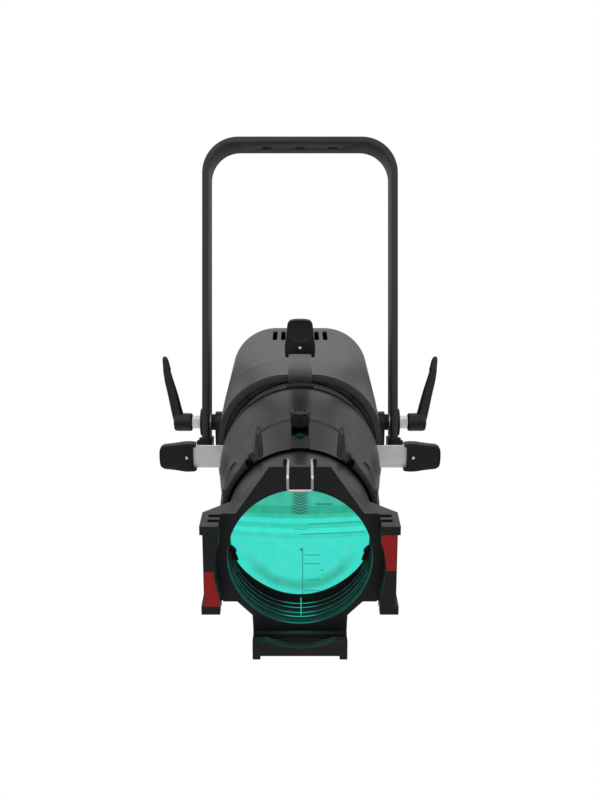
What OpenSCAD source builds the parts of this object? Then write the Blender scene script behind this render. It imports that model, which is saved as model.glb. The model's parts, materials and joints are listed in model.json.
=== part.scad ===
// Ellipsoidal stage spotlight with an LED engine, hung in a yoke and aimed nose down.
// The origin is the centre of the yoke's middle hanging hole, on the bar's top face.
// X is to the right, the beam leaves towards -Y, and Z is up.

/* [Yoke] */
// Width of the yoke over its two legs
yoke_w = 250; // [246:1:260]
// Height of the yoke's top face above the tilt axis
yoke_rise = 365; // [350:1:400]
// Width of the flat bar that the yoke is bent from
bar_w = 60; // [50:1:64]
// Thickness of the flat bar
bar_t = 8; // [6:0.5:8]
// Outer radius of the yoke's two bends
bend_r = 46; // [40:1:60]
// Diameter of the three hanging holes
hang_hole_d = 13; // [11:0.5:14]
// Distance between neighbouring hanging holes
hang_pitch = 43; // [40:1:50]
// How far the legs reach below the tilt axis
leg_tail = 48; // [44:1:52]

/* [Aim] */
// Angle of the beam below the horizontal
aim = 16; // [0:1:40]
// Height of the optical axis above the tilt axis
optic_rise = 8; // [4:1:10]

/* [Housing] */
// Width of the light engine's housing
housing_w = 184; // [180:1:186]
// Height of the light engine's housing
housing_h = 190; // [186:1:192]
// Corner radius of the housing's section
housing_corner = 60; // [54:1:64]
// Wall thickness of the housing's shells
shell_t = 2.5; // [2:0.5:3]
// Width of one cooling slot
vent_w = 6; // [4:0.5:7]
// Distance between neighbouring cooling slots
vent_pitch = 11; // [10:0.5:12]

/* [Barrel] */
// Outer radius of the shutter gate
gate_r = 86.6; // [86:0.2:87]
// Radius of the gate's round opening
field_r = 40; // [36:1:42]
// Largest outer radius of the barrel
barrel_r = 89.2; // [88.8:0.1:89.4]

/* [Shutters] */
// Width of a shutter blade's tongue
tongue_w = 27; // [24:1:28]
// Thickness of a shutter blade
blade_t = 1.2; // [1:0.1:1.4]
// Distance from the optical axis to the outer end of a side shutter's handle
side_reach = 162; // [160:1:166]
// Distance from the optical axis to the outer end of the top and bottom shutters' handles
tall_reach = 161; // [160:1:166]
// Greatest width of a shutter's handle
handle_w = 35; // [34:0.5:36]
// Thickness of a shutter's handle
handle_t = 12; // [10:0.5:13]

/* [Lens tube] */
// Outer radius of the lens tube
tube_r = 71; // [70.5:0.1:71.2]
// Radius of the lens tube's bore
tube_bore = 66.5; // [66.3:0.1:66.8]
// Radius of the front opening
aperture_r = 65.5; // [64:0.5:66]
// Width of the colour frame that the holder takes
frame_w = 159; // [158:1:160]
// Width of each accessory slot along the beam
slot_t = 6; // [5.6:0.1:6]
// Diameter of the frame clip's wire
wire_d = 2.4; // [2:0.1:2.6]

/* [Tilt levers] */
// Distance from the middle of the yoke to the lever hub's outer end
hub_end = 163.5; // [160:0.5:166]
// Radius of the lever's hub
hub_r = 11.7; // [11:0.1:12]
// Length of the lever's arm from the tilt axis
arm_l = 81; // [70:1:90]

/* [Hidden] */
$fn = 96;
eps = 0.01;
black = [0.05, 0.05, 0.055];
dark = [0.12, 0.12, 0.125];
grey = [0.3, 0.3, 0.31];
steel = [0.72, 0.72, 0.7];

// Radial clearance of a turning fit, and of a plain gap between bodies
run_gap = 0.05;
free_gap = 0.4;

// Places across the yoke, measured from its middle
leg_out = yoke_w / 2;
leg_in = leg_out - bar_t;
disc_t = 4;
disc_r = 17.5;
cap_out = 6.5;
hub_start = leg_out + disc_t + 11;
stud_r = 5;
hex_across = 14.5;
bracket_out = leg_in - 7.5;
washer_r = 10.5;
end_r = bar_w / 2;

// Places along the beam, measured forward of the tilt axis
rear_z = -103;
cover_z = -180;
panel_z = -182.4;
seam_z = 95;
bezel_z = 143;
recess_z = 147;
bezel_front = 152;
gate_z = 147.4;
gate_floor = 151.8;
side_blade_z = 160;
side_grip_z = 160;
tall_blade_z = 154.8;
tall_grip_z = 158.6;
gate_lid = 165;
gate_front = 177;
barrel_z = 178;
rim_z = 350;
knob_z = 315;
slot_start = 289;
slot_end = 337;
tube_start = 250;
plate_z = 434;
plate_front = 439.6;
holder_front = 467;
clip_z = 430;

// Front section of the housing, which is rounder than its rear section
front_size = 190;
front_corner = 80;
bezel_rim = 7.3;

// Radii at the gate's bearing
spigot_r = 70;
retainer_r = 76;

// Holder of the colour frame
ear_in = 70.7;
ear_out = 87.2;
ear_side = 84;
ear_h = 84;
foot_h = 8;
slot_half = frame_w / 2 + 1.6;
bracket_top = -69;
ledge_v = -75;
floor_v = -83;
bracket_half = 42.5;
front_wall = 10;

// Frame of the lamp: the tilt axis lies on X, level when aim is 0
module lamp_frame() {
  translate([0, 0, -yoke_rise]) rotate([aim, 0, 0]) children();
}

// Optical frame: X to the right, Y up and Z forward along the beam
module optic() {
  lamp_frame() translate([0, 0, optic_rise]) rotate([90, 0, 0]) children();
}

module both_sides() {
  children();
  mirror([1, 0, 0]) children();
}

module rod(r, z0, z1) {
  translate([0, 0, z0]) cylinder(r = r, h = z1 - z0);
}

module ring(r_out, r_in, z0, z1) {
  difference() {
    rod(r_out, z0, z1);
    rod(r_in, z0 - 1, z1 + 1);
  }
}

module slab(z0, z1) {
  translate([0, 0, z0]) linear_extrude(z1 - z0) children();
}

module block(x0, x1, y0, y1, z0, z1) {
  translate([x0, y0, z0]) cube([x1 - x0, y1 - y0, z1 - z0]);
}

// Rod along X between two distances from the middle
module cross_rod(r, x0, x1) {
  translate([x0, 0, 0]) rotate([0, 90, 0]) cylinder(r = r, h = x1 - x0);
}

// Rod along the optical frame's Y between two heights
module up_rod(r, y0, y1) {
  translate([0, y0, 0]) rotate([-90, 0, 0]) cylinder(r = r, h = y1 - y0);
}

module rounded_rect(w, h, r) {
  square([w - 2 * r, h], center = true);
  square([w, h - 2 * r], center = true);
  for (x = [-1, 1], y = [-1, 1])
    translate([x * (w / 2 - r), y * (h / 2 - r)]) circle(r);
}

// Loft between two rounded sections
module loft(w0, h0, r0, z0, w1, h1, r1, z1) {
  hull() {
    slab(z0, z0 + eps) rounded_rect(w0, h0, r0);
    slab(z1 - eps, z1) rounded_rect(w1, h1, r1);
  }
}

module screw(head_r, head_h, shank_r, shank_l) {
  difference() {
    rod(head_r, 0, head_h);
    translate([0, 0, head_h * 0.5]) cylinder(r = head_r * 0.55, h = head_h, $fn = 6);
  }
  rod(shank_r, -shank_l, eps);
}

// ---- Yoke ----

module yoke_arch(out, top, r) {
  translate([-out, -leg_tail]) square([2 * out, leg_tail + top - r]);
  translate([-out + r, top - r - eps]) square([2 * (out - r), r + eps]);
  for (x = [-1, 1]) translate([x * (out - r), top - r]) circle(r);
}

module leg_profile(grow) {
  translate([-end_r - grow, -leg_tail + end_r]) square([2 * (end_r + grow), leg_tail + yoke_rise]);
  translate([0, -leg_tail + end_r]) circle(end_r + grow);
}

// A profile drawn in Y and Z, carried across X between two distances
module across(x0, x1) {
  translate([x0, 0, 0]) rotate([90, 0, 90]) linear_extrude(x1 - x0) children();
}

module yoke() color(black) {
  difference() {
    translate([0, 0, -yoke_rise]) intersection() {
      rotate([90, 0, 0]) translate([0, 0, -bar_w / 2]) linear_extrude(bar_w) difference() {
        yoke_arch(leg_out, yoke_rise, bend_r);
        translate([0, -1]) yoke_arch(leg_in, yoke_rise - bar_t + 1, bend_r - bar_t);
      }
      across(-leg_out, leg_out) leg_profile(0);
    }
    for (i = [-1 : 1]) translate([i * hang_pitch, 0, 0]) rod(hang_hole_d / 2, -bar_t - 1, 1);
    translate([0, 0, -yoke_rise]) cross_rod(stud_r + run_gap, -leg_out - 1, leg_out + 1);
  }
}

// Moulded caps over the ends of the legs
module yoke_end_caps() color(black) {
  translate([0, 0, -yoke_rise]) both_sides() difference() {
    intersection() {
      union() {
        across(leg_in - 2.5, leg_out + 3.5) translate([-end_r - 3, -leg_tail - 3])
          square([bar_w + 6, leg_tail + 3 - disc_r - 1.5]);
        across(leg_in - 2.5, leg_out + cap_out) translate([-end_r - 3, -leg_tail - 3])
          square([bar_w + 6, leg_tail + 3 - disc_r - 5]);
      }
      across(leg_in - 3, leg_out + cap_out + 1) leg_profile(3);
    }
    across(leg_in, leg_out) leg_profile(0);
  }
}

module pivot_discs() color(black) {
  translate([0, 0, -yoke_rise]) both_sides() difference() {
    cross_rod(disc_r, leg_out, leg_out + disc_t);
    cross_rod(stud_r + run_gap, leg_out - 1, leg_out + disc_t + 1);
  }
}

// ---- Tilt locks, drawn for the right side ----

module tilt_lever() color(black) {
  translate([0, 0, -yoke_rise]) difference() {
    union() {
      cross_rod(hub_r, hub_start, hub_end - 3);
      cross_rod(hub_r - 1.5, hub_end - 3 - eps, hub_end);
      hull() {
        translate([hub_end - 5.6, 0, 3]) rotate([90, 0, 0])
          cylinder(r = 7.4, h = 15, center = true, $fn = 32);
        translate([hub_end + 11.5, 0, arm_l]) rotate([90, 0, 0])
          cylinder(r = 4.3, h = 9, center = true, $fn = 32);
      }
    }
    cross_rod(stud_r + 0.02, hub_start - 1, hub_start + 12);
    cross_rod(2.52, hub_start, hub_end + 10);
    cross_rod(4.6, hub_end - 2, hub_end + 10);
  }
}

module clamp_stud() color(steel) {
  translate([0, 0, -yoke_rise]) difference() {
    union() {
      cross_rod(stud_r, bracket_out - 12, hub_start + 11.9);
      translate([leg_out + disc_t + 0.2, 0, 0]) rotate([0, 90, 0])
        cylinder(d = hex_across / cos(30), h = hub_start - leg_out - disc_t - 0.3, $fn = 6);
    }
    cross_rod(2.52, hub_start + 2, hub_start + 13);
  }
}

module lever_screw() color(steel) {
  translate([hub_end - 2, 0, -yoke_rise]) rotate([0, 90, 0]) screw(4.4, 3, 2.5, 19);
}

// ---- Light engine ----

module vent_slots() {
  for (i = [-3 : 3]) translate([i * vent_pitch, 0, 0])
    block(-vent_w / 2, vent_w / 2, -housing_h, housing_h, -81, -29);
}

module housing_shell() color(grey) optic() difference() {
  slab(rear_z, seam_z) rounded_rect(housing_w, housing_h, housing_corner);
  slab(rear_z - 1, seam_z + 1)
    rounded_rect(housing_w - 2 * shell_t, housing_h - 2 * shell_t, housing_corner - shell_t);
  vent_slots();
}

module front_housing() color(grey) optic() difference() {
  loft(housing_w, housing_h, housing_corner, seam_z + 0.4, front_size, front_size, front_corner, bezel_z);
  loft(housing_w - 2 * shell_t, housing_h - 2 * shell_t, housing_corner - shell_t, seam_z,
       front_size - 2 * shell_t, front_size - 2 * shell_t, front_corner - shell_t, bezel_z + eps);
}

module front_bezel() color(dark) optic() difference() {
  union() {
    slab(bezel_z, bezel_front - 2) rounded_rect(front_size, front_size, front_corner);
    slab(bezel_front - 2 - eps, bezel_front) rounded_rect(front_size - 3, front_size - 3, front_corner - 1.5);
  }
  rod(spigot_r + run_gap, bezel_z - 1, bezel_front + 1);
  slab(recess_z, bezel_front + 1)
    rounded_rect(front_size - 2 * bezel_rim, front_size - 2 * bezel_rim, front_corner - bezel_rim);
}

module bezel_lugs() color(black) optic() {
  for (a = [45 : 90 : 315]) rotate(a) translate([gate_r + 1, 0, 0]) {
    block(0, 6, -5, 5, recess_z, bezel_front + 5);
    block(0, 3.5, -3, 3, bezel_front + 5 - eps, bezel_front + 7);
  }
}

module rear_cover() color(dark) optic() difference() {
  loft(142, 146, 42, cover_z, housing_w - 3, housing_h - 3, housing_corner - 1.5, rear_z - 0.4);
  loft(136, 140, 39, cover_z + 3, housing_w - 9, housing_h - 9, housing_corner - 4.5, rear_z);
  slab(cover_z - 1, cover_z + 4) rounded_rect(106, 106, 8);
  for (i = [-4 : 4]) translate([0, i * 12, 0]) block(-housing_w, housing_w, -2.5, 2.5, -160, -125);
  panel_corners() rod(1.55, cover_z - 1, cover_z + 12);
}

// Places on the rear panel: screws in the corners, buttons in a row, sockets in two rows
screw_x = 58;
button_x = [-30, -10, 10, 30];
button_y = 16;
button_r = 4.5;
power_r = 13;
power_y = -38;
data_r = 11.5;
data_y = -8;
socket_x = 28;

module panel_corners() {
  for (x = [-1, 1], y = [-1, 1]) translate([x * screw_x, y * screw_x, 0]) children();
}

module rear_panel() color(black) optic() difference() {
  slab(panel_z, cover_z) rounded_rect(128, 128, 14);
  block(-32, 32, 28, 48, panel_z - 1, cover_z + 1);
  for (x = button_x) translate([x, button_y, 0]) rod(button_r + free_gap, panel_z - 1, cover_z + 1);
  for (x = [-1, 1]) {
    translate([x * socket_x, power_y, 0]) rod(power_r + 0.1, panel_z - 1, cover_z + 1);
    translate([x * socket_x, data_y, 0]) rod(data_r + 0.1, panel_z - 1, cover_z + 1);
  }
  panel_corners() rod(1.55, panel_z - 1, cover_z + 1);
}

module display_window() color([0.1, 0.15, 0.25]) optic() {
  block(-31.8, 31.8, 28.2, 47.8, panel_z - 0.6, cover_z + eps);
  block(-35, 35, 25, 51, cover_z, cover_z + 3);
}

module rear_screws() color(steel) optic() {
  panel_corners() translate([0, 0, panel_z]) mirror([0, 0, 1]) screw(3.4, 2, 1.5, 8);
}

// Socket seen from behind: a collar outside the panel and a body inside it
module socket(r, collar, depth) {
  difference() {
    union() {
      rod(r, panel_z - 2, panel_z + depth);
      rod(r + collar, panel_z - 2, panel_z - 0.05);
    }
    rod(r - 1.8, panel_z - 3, panel_z + depth * 0.6);
  }
}

module power_sockets() color([0.15, 0.25, 0.45]) optic() {
  for (x = [-1, 1]) translate([x * socket_x, power_y, 0]) socket(power_r, 2, 22);
}

module data_sockets() color(steel) optic() {
  for (x = [-1, 1]) translate([x * socket_x, data_y, 0]) socket(data_r, 1.5, 18);
}

module panel_button(i) color(dark) optic() translate([button_x[i], button_y, 0]) {
  rod(button_r, panel_z - 2, cover_z + 0.4);
  rod(button_r + 1.5, cover_z + 0.4 - eps, cover_z + 1.4);
}

module pivot_brackets() color(dark) lamp_frame() both_sides() difference() {
  union() {
    block(housing_w / 2, housing_w / 2 + 4, -38, 38, -44, 34);
    across(housing_w / 2 + 4 - eps, bracket_out) {
      circle(14);
      translate([-14, -44]) square([28, 44]);
    }
  }
  cross_rod(stud_r + run_gap, bracket_out - 14, bracket_out + 1);
  for (y = [-1, 1], z = [-1, 1]) translate([0, y * 28, z * 24 - 4]) cross_rod(2.1, 90, 100);
}

module bracket_screws() color(steel) lamp_frame() both_sides() {
  for (y = [-1, 1], z = [-1, 1]) translate([housing_w / 2 + 4, y * 28, z * 24 - 4])
    rotate([0, 90, 0]) screw(3.8, 3, 2, 3.9);
}

module pivot_washers() color(black) translate([0, 0, -yoke_rise]) both_sides() difference() {
  union() {
    cross_rod(washer_r, bracket_out + 0.1, leg_in - 2.3);
    cross_rod(washer_r - 2, leg_in - 2.3 - eps, leg_in);
  }
  cross_rod(stud_r + run_gap, bracket_out, leg_in + 1);
}

// Sheet-metal tray that carries everything inside the housing
tray_v = -72;
module chassis_tray() color(steel) optic() {
  block(-46, 46, tray_v - 2, tray_v, -96, 88);
  block(-46, 46, tray_v - eps, tray_v + 14, 86, 88);
  for (x = [-1, 1], z = [-84, 70]) translate([x * 24, 0, z])
    up_rod(5, 0.05 + shell_t - housing_h / 2, tray_v - 2 + eps);
}

sink_half = 62;
module heat_sink() color(steel) optic() {
  block(-sink_half, sink_half, -sink_half, sink_half, 30, 38);
  for (i = [-10 : 10]) block(i * 6 - 0.8, i * 6 + 0.8, -sink_half, sink_half, -28, 30 + eps);
  block(-30, 30, tray_v, -sink_half + eps, 30, 38);
}

module led_board() color("seagreen") optic() difference() {
  rod(36, 38, 40);
  for (a = [45 : 90 : 315]) rotate(a) translate([31, 0, 0]) rod(1.7, 37, 41);
}

module led_array() color("gold") optic() {
  rod(15, 40, 41.4);
  for (a = [0 : 45 : 315]) rotate(a) translate([10, 0, 0]) rod(2.6, 41.4 - eps, 42.4);
  rod(2.6, 41.4 - eps, 42.4);
}

module collimator() color(steel) optic() rotate_extrude()
  polygon([[18, 43], [21, 43], [59, 94], [66, 94], [66, 96.5], [56.5, 96.5], [56.5, 94.8]]);

module condenser_lens() color([0.7, 0.85, 0.9, 0.5]) optic() intersection() {
  rod(60, 97, 125);
  translate([0, 0, 20]) sphere(r = 98, $fn = 96);
}

fan_r = 42;
module fan_frame() color(black) optic() difference() {
  union() {
    difference() {
      slab(-62, -37) rounded_rect(92, 92, 5);
      rod(fan_r + 2, -63, -36);
    }
    rod(19, -41, -37);
    for (a = [45, 135]) rotate(a) block(-fan_r - 6, fan_r + 6, -2.5, 2.5, -40, -37);
    block(-20, 20, tray_v, -46 + eps, -60, -40);
  }
  rod(1.5 + run_gap, -50, -36);
}

module fan_rotor() color(dark) optic() {
  rod(17.5, -60, -42);
  rod(1.5, -42 - eps, -37.5);
  for (a = [0 : 360 / 7 : 359]) rotate(a) translate([16, 0, -51]) rotate([35, 0, 0])
    translate([0, -0.8, -9]) cube([fan_r - 16.5, 1.6, 18]);
}

module power_supply() color(steel) optic() {
  block(-42, 42, tray_v, tray_v + 34, -96, -66);
  for (i = [-3 : 3]) block(i * 11 - 3, i * 11 + 3, tray_v + 34 - eps, tray_v + 36, -94, -68);
}

module control_board() color("seagreen") optic() {
  block(-44, 44, 4, 56, cover_z + 24, cover_z + 25.6);
  for (x = [-1, 1], y = [8, 50]) translate([x * 42, y, 0]) rod(2.5, cover_z, cover_z + 24 + eps);
  for (i = [-1 : 1]) block(i * 24 - 7, i * 24 + 7, 30, 44, cover_z + 25.6 - eps, cover_z + 28);
}

// ---- Shutter gate and barrel ----

module gate_notch(z0) {
  block(-tongue_w / 2 - 1.5, tongue_w / 2 + 1.5, gate_r - 8, gate_r + 1, z0, gate_front + 1);
}

// Slot round part of the gate, in which a tall shutter can also be slanted
module slant_slot() {
  intersection() {
    ring(gate_r + 1, gate_r - 6, tall_blade_z - 1.6, tall_blade_z + 1.6);
    linear_extrude(gate_front) polygon([[0, 0], [-67.5, 100], [67.5, 100]]);
  }
}

module gate_ring() color(grey) optic() difference() {
  union() {
    ring(gate_r, field_r, gate_z, gate_floor);
    ring(gate_r, gate_r - 5, gate_z, gate_front);
    ring(gate_r, field_r + 24, gate_lid, gate_front);
    ring(spigot_r, spigot_r - 4, bezel_z - 0.3, gate_z + eps);
  }
  for (a = [90, 270]) rotate(a) gate_notch(side_blade_z - 2);
  for (a = [0, 180]) rotate(a) {
    gate_notch(161);
    slant_slot();
  }
}

module barrel_retainer() color(steel) optic() ring(retainer_r, spigot_r - 8, bezel_z - 4, bezel_z - 0.3);

// Outline of the barrel's wall: distance from the axis, then distance along the beam
barrel_outer = [
  [84.5, barrel_z], [86.2, barrel_z + 2], [87.8, barrel_z + 6], [barrel_r - 0.3, barrel_z + 13],
  [barrel_r, 201], [barrel_r - 0.6, 214], [86.4, 238], [83.6, 262], [82, 278], [81.5, 284],
  [81.2, 292], [79.6, 336], [78.6, 344], [76.9, 348.5], [74.5, rim_z]
];
barrel_inner = [
  [72.2, rim_z], [72.2, 318], [75.6, 310], [77, 288], [78, 270], [72.2, 268], [72.2, 262], [79.5, 258],
  [82, 238], [85, 214], [85, 200], [80, barrel_z]
];

module barrel_wall() {
  rotate_extrude() polygon(concat(barrel_outer, barrel_inner));
}

// Places of the screws that hold the barrel's two castings together
boss_x = 79;
boss_z = [206, 236];

// Straight ribs on the front collar, beside the focus slot
module collar_rib(a) {
  rotate(a) hull() {
    translate([0, 78.4, 297]) sphere(r = 4.8, $fn = 32);
    translate([0, 76.6, 338]) sphere(r = 4.6, $fn = 32);
  }
}

module barrel_bosses() {
  for (z = boss_z) both_sides() intersection() {
    translate([boss_x, 0, z]) up_rod(5, -24, 24);
    rotate_extrude() polygon(concat(barrel_outer, [[0, rim_z], [0, barrel_z]]));
  }
}

// Cut that lowers the collar's panel between the two top ribs
module panel_cut() {
  intersection() {
    rotate_extrude() polygon([[80.4, 288], [100, 288], [100, rim_z + 1], [73.5, rim_z + 1]]);
    linear_extrude(400) polygon([[0, 0], [-62, 100], [62, 100]]);
  }
}

// Raised block around the focus slot, which slopes down to the rim
module slot_boss() {
  across(-9.3, 9.3) polygon([[76, 300], [84.5, 300], [84.5, 325], [74.3, rim_z], [72.4, rim_z], [73, 318]]);
}

module barrel_whole() difference() {
  union() {
    difference() {
      barrel_wall();
      panel_cut();
    }
    barrel_bosses();
    slot_boss();
  }
  for (z = boss_z) both_sides() translate([boss_x, 0, z]) {
    up_rod(2.05, -30, 18);
    up_rod(4.2, -60, -12);
  }
  for (m = [0, 1]) mirror([m, 0, 0]) {
    rotate(33) block(76, 90, -1.6, 1.6, 314, 322);
    rotate(19) block(75, 90, -1.6, 1.6, 336, 343);
  }
}

module barrel_top() color(dark) optic() difference() {
  union() {
    intersection() {
      barrel_whole();
      block(-100, 100, 0, 100, barrel_z - 1, rim_z + 1);
    }
    difference() {
      for (a = [-36, 36]) collar_rib(a);
      rod(73, 290, rim_z);
    }
  }
  block(-4.5, 4.5, 60, 100, slot_start + 4.5, slot_end - 4.5);
  for (z = [slot_start + 4.5, slot_end - 4.5]) translate([0, 0, z]) up_rod(4.5, 60, 100);
}

module barrel_bottom() color(dark) optic() {
  intersection() {
    barrel_whole();
    block(-100, 100, -100, 0, barrel_z - 1, rim_z + 1);
  }
  difference() {
    for (a = [144, 216]) collar_rib(a);
    rod(73, 290, rim_z);
  }
}

module barrel_screws() color(steel) optic() {
  for (z = boss_z) both_sides() translate([boss_x, -12, z]) rotate([90, 0, 0]) screw(3.8, 3.4, 2, 27);
}

// ---- Shutters, drawn for the top one: Y points away from the axis ----

module blade_at(level, grip, reach) {
  slab(level - blade_t / 2, level + blade_t / 2) {
    translate([-tongue_w / 2, field_r + 10]) square([tongue_w, reach - 20 - field_r - 10]);
    translate([-32, field_r + 3]) square([64, 30]);
  }
  translate([0, reach - 31.7, 0]) rod(2.3, grip - handle_t / 2 - 0.5, grip + handle_t / 2 + 0.5);
}

// Disc of a handle's rounded outline, given its place, radius and half thickness
module handle_disc(x, y, level, r, half) {
  translate([x, y, 0]) rod(r, level - half, level + half, $fn = 32);
}

module handle_at(level, grip, reach) difference() {
  hull() {
    for (x = [-1, 1]) {
      handle_disc(x * (handle_w / 2 - 6), reach - 32, grip, 6, handle_t / 2);
      handle_disc(x * 12, reach - 38, grip, 3.4, handle_t / 2);
      handle_disc(x * 9, reach - 6, grip, 5, handle_t / 2 - 1.5);
    }
    handle_disc(0, reach - 9, grip, 9, handle_t / 2 - 1.5);
  }
  translate([0, reach - 62, 0]) rod(24, grip - handle_t, grip + handle_t);
  block(-tongue_w / 2, tongue_w / 2, 80, reach - 20, level - blade_t / 2, level + blade_t / 2);
  translate([0, reach - 31.7, 0]) rod(2.3, grip - handle_t, grip + handle_t);
}

module tall_blade(a) color(steel) optic() rotate(a) blade_at(tall_blade_z, tall_grip_z, tall_reach);

module side_blade(a) color(steel) optic() rotate(a) blade_at(side_blade_z, side_grip_z, side_reach);

module tall_handle(a) color(black) optic() rotate(a) handle_at(tall_blade_z, tall_grip_z, tall_reach);

module side_handle(a) color(black) optic() rotate(a) handle_at(side_blade_z, side_grip_z, side_reach);

// ---- Lens tube ----

module plate_outline() {
  polygon([
    [-27, 87], [27, 87], [57.2, 43], [70, 43], [70, -43], [57.2, -43],
    [43.4, -56.6], [bracket_half, floor_v], [-bracket_half, floor_v], [-43.4, -56.6],
    [-57.2, -43], [-70, -43], [-70, 43], [-57.2, 43]
  ]);
}

module tube_shoulders() {
  hull() {
    rod(tube_r, 402, 403, $fn = 64);
    slab(plate_z - eps, plate_z) polygon([
      [-27, 87], [27, 87], [57.2, 43], [62, 0], [57.2, -43], [43.4, -56.6],
      [-43.4, -56.6], [-57.2, -43], [-62, 0], [-57.2, 43]
    ]);
  }
  both_sides() hull() {
    block(40, 62, -34, 34, 384, 385);
    block(40, ear_out, -ear_h / 2, ear_h / 2, plate_z - eps, plate_z);
  }
}

module tube_holder() {
  slab(plate_z - eps, plate_front) plate_outline();
  both_sides() {
    block(57, ear_out, -ear_h / 2, ear_h / 2, plate_z - eps, plate_front);
    block(ear_in, ear_out, -ear_h / 2, ear_h / 2, plate_z, holder_front);
    block(bracket_half - 7, bracket_half, floor_v - 3.4, floor_v + eps, plate_z, holder_front);
    block(lug_in, lug_in + 3, 78, clip_v + 1.8, clip_z - 2.6, clip_z + 2.6);
  }
  block(-bracket_half, bracket_half, floor_v, bracket_top, plate_z - eps, holder_front);
}

clip_v = 90;
clip_half = 10.4;
lug_in = 11.8;

// Bore of the tube: start, end and radius of each step
bore_steps = concat(
  [[tube_start - 1, 278, tube_bore], [277.9, 282, 56], [281.9, 380, tube_bore], [379.9, 384, 60]],
  [[383.9, 399, tube_bore]],
  [for (z = [400.4 : 8 : 424.4]) [z, z + 6.6, tube_bore]],
  [[383.9, plate_front + 1, aperture_r]]
);

module tube_whole() difference() {
  union() {
    rod(tube_r, tube_start, plate_z);
    tube_shoulders();
    tube_holder();
  }
  for (b = bore_steps) rod(b[2], b[0], b[1]);
  rod(75, holder_front - front_wall, holder_front + 1);
  difference() {
    rod(75, plate_front, holder_front - front_wall + eps);
    block(-80, 80, -80, bracket_top, plate_front - 1, holder_front);
  }
  both_sides() {
    block(ear_side, ear_out + 1, -ear_h / 2 + foot_h, ear_h / 2 - foot_h, 442, holder_front + 1);
    translate([0, clip_v, clip_z]) cross_rod(wire_d / 2 + run_gap, clip_half - 1, 18);
  }
  block(-slot_half, slot_half, ledge_v, 95, plate_front, plate_front + slot_t);
  block(-slot_half, slot_half, ledge_v, 95, holder_front - front_wall - slot_t, holder_front - front_wall);
  translate([0, 0, knob_z]) up_rod(3.6, 60, 80);
}

module left_tube_half() color(dark) optic() intersection() {
  tube_whole();
  block(-100, 0, -100, 100, tube_start - 1, holder_front + 1);
}

module right_tube_half() color(dark) optic() intersection() {
  tube_whole();
  block(0, 100, -100, 100, tube_start - 1, holder_front + 1);
}

module front_lens() color([0.3, 0.9, 0.85, 0.6]) optic() intersection() {
  rod(tube_bore - 0.3, 384, 412);
  translate([0, 0, 290]) sphere(r = 120);
}

module rear_lens() color([0.7, 0.9, 0.9, 0.6]) optic() intersection() {
  rod(tube_bore - 0.3, 282, 306);
  translate([0, 0, 164.6]) sphere(r = 140);
}

module lens_retainers() color(black) optic() {
  ring(tube_bore - 0.1, 65.4, 391.7, 396);
  ring(tube_bore - 0.1, 64.2, 289.4, 293);
  for (a = [-17, 197, -48, 228]) rotate(a) block(61.5, 66, -3, 3, 396 - eps, 398);
}

module focus_slider() color(dark) optic() translate([0, 0, knob_z]) difference() {
  intersection() {
    block(-4.1, 4.1, 60, 79, -5, 5);
    difference() {
      translate([0, 0, -9]) cylinder(r = 79, h = 18);
      translate([0, 0, -10]) cylinder(r = tube_r + 0.02, h = 20);
    }
  }
  up_rod(3 + run_gap, 50, 90);
}

// Coil spring on the stud, inside the tube
spring_r = 4.9;
spring_wire = 0.8;
spring_turns = 7;
spring_low = 46.6;
spring_high = 65.2;
spring_steps = 20;

function spring_point(i, b) =
  let (t = i / (spring_turns * spring_steps), a = 360 * i / spring_steps, r = spring_r + spring_wire * cos(b))
  [r * cos(a), spring_low + (spring_high - spring_low) * t + spring_wire * sin(b), r * sin(a)];

module focus_spring() color(steel) optic() translate([0, 0, knob_z]) {
  sides = 8;
  last = spring_turns * spring_steps;
  polyhedron(
    points = [for (i = [0 : last], s = [0 : sides - 1]) spring_point(i, s * 360 / sides)],
    faces = concat(
      [[for (s = [sides - 1 : -1 : 0]) s]],
      [for (i = [0 : last - 1], s = [0 : sides - 1])
        [i * sides + s, i * sides + (s + 1) % sides,
         (i + 1) * sides + (s + 1) % sides, (i + 1) * sides + s]],
      [[for (s = [0 : sides - 1]) last * sides + s]]
    )
  );
}

knob_low = 85.7;
knob_high = 98;
module focus_knob() color(black) optic() translate([0, 0, knob_z]) difference() {
  union() {
    up_rod(8.6, knob_low, knob_high);
    for (a = [0 : 20 : 340]) rotate([0, a, 0]) translate([8.5, 0, 0]) up_rod(0.9, knob_low + 1, knob_high);
    up_rod(8.8, knob_high - eps, knob_high + 3);
    for (a = [0 : 45 : 315]) rotate([0, a, 0]) translate([7.6, 0, 0])
      up_rod(2.8, knob_high - eps, knob_high + 3);
  }
  up_rod(3.02, knob_low - 1, knob_low + 10);
}

module focus_stud() color(steel) optic() translate([0, 0, knob_z]) {
  up_rod(3, 43, knob_low + 9.9);
  difference() {
    translate([0, 43.4, 0]) rotate([-90, 0, 0]) cylinder(r = 6, h = 2.2, $fn = 6);
    up_rod(2.9, 40, 50);
  }
}

// Wire bail that closes the top of the frame slots
clip_front = 474;
clip_low = 77.5;
module frame_clip() color(steel) optic() {
  wire_r = wire_d / 2;
  for (m = [0, 1]) mirror([m, 0, 0]) {
    translate([clip_half, clip_v, clip_z]) {
      sphere(r = wire_r, $fn = 32);
      cross_rod(wire_r, 0, 4.2);
      rod(wire_r, 0, clip_front - clip_z);
    }
    translate([clip_half, 0, clip_front]) {
      translate([0, clip_v, 0]) sphere(r = wire_r, $fn = 32);
      up_rod(wire_r, clip_low, clip_v);
      translate([0, clip_low, 0]) sphere(r = wire_r, $fn = 32);
    }
  }
  translate([0, clip_low, clip_front]) cross_rod(wire_r, -clip_half, clip_half);
}

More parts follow.
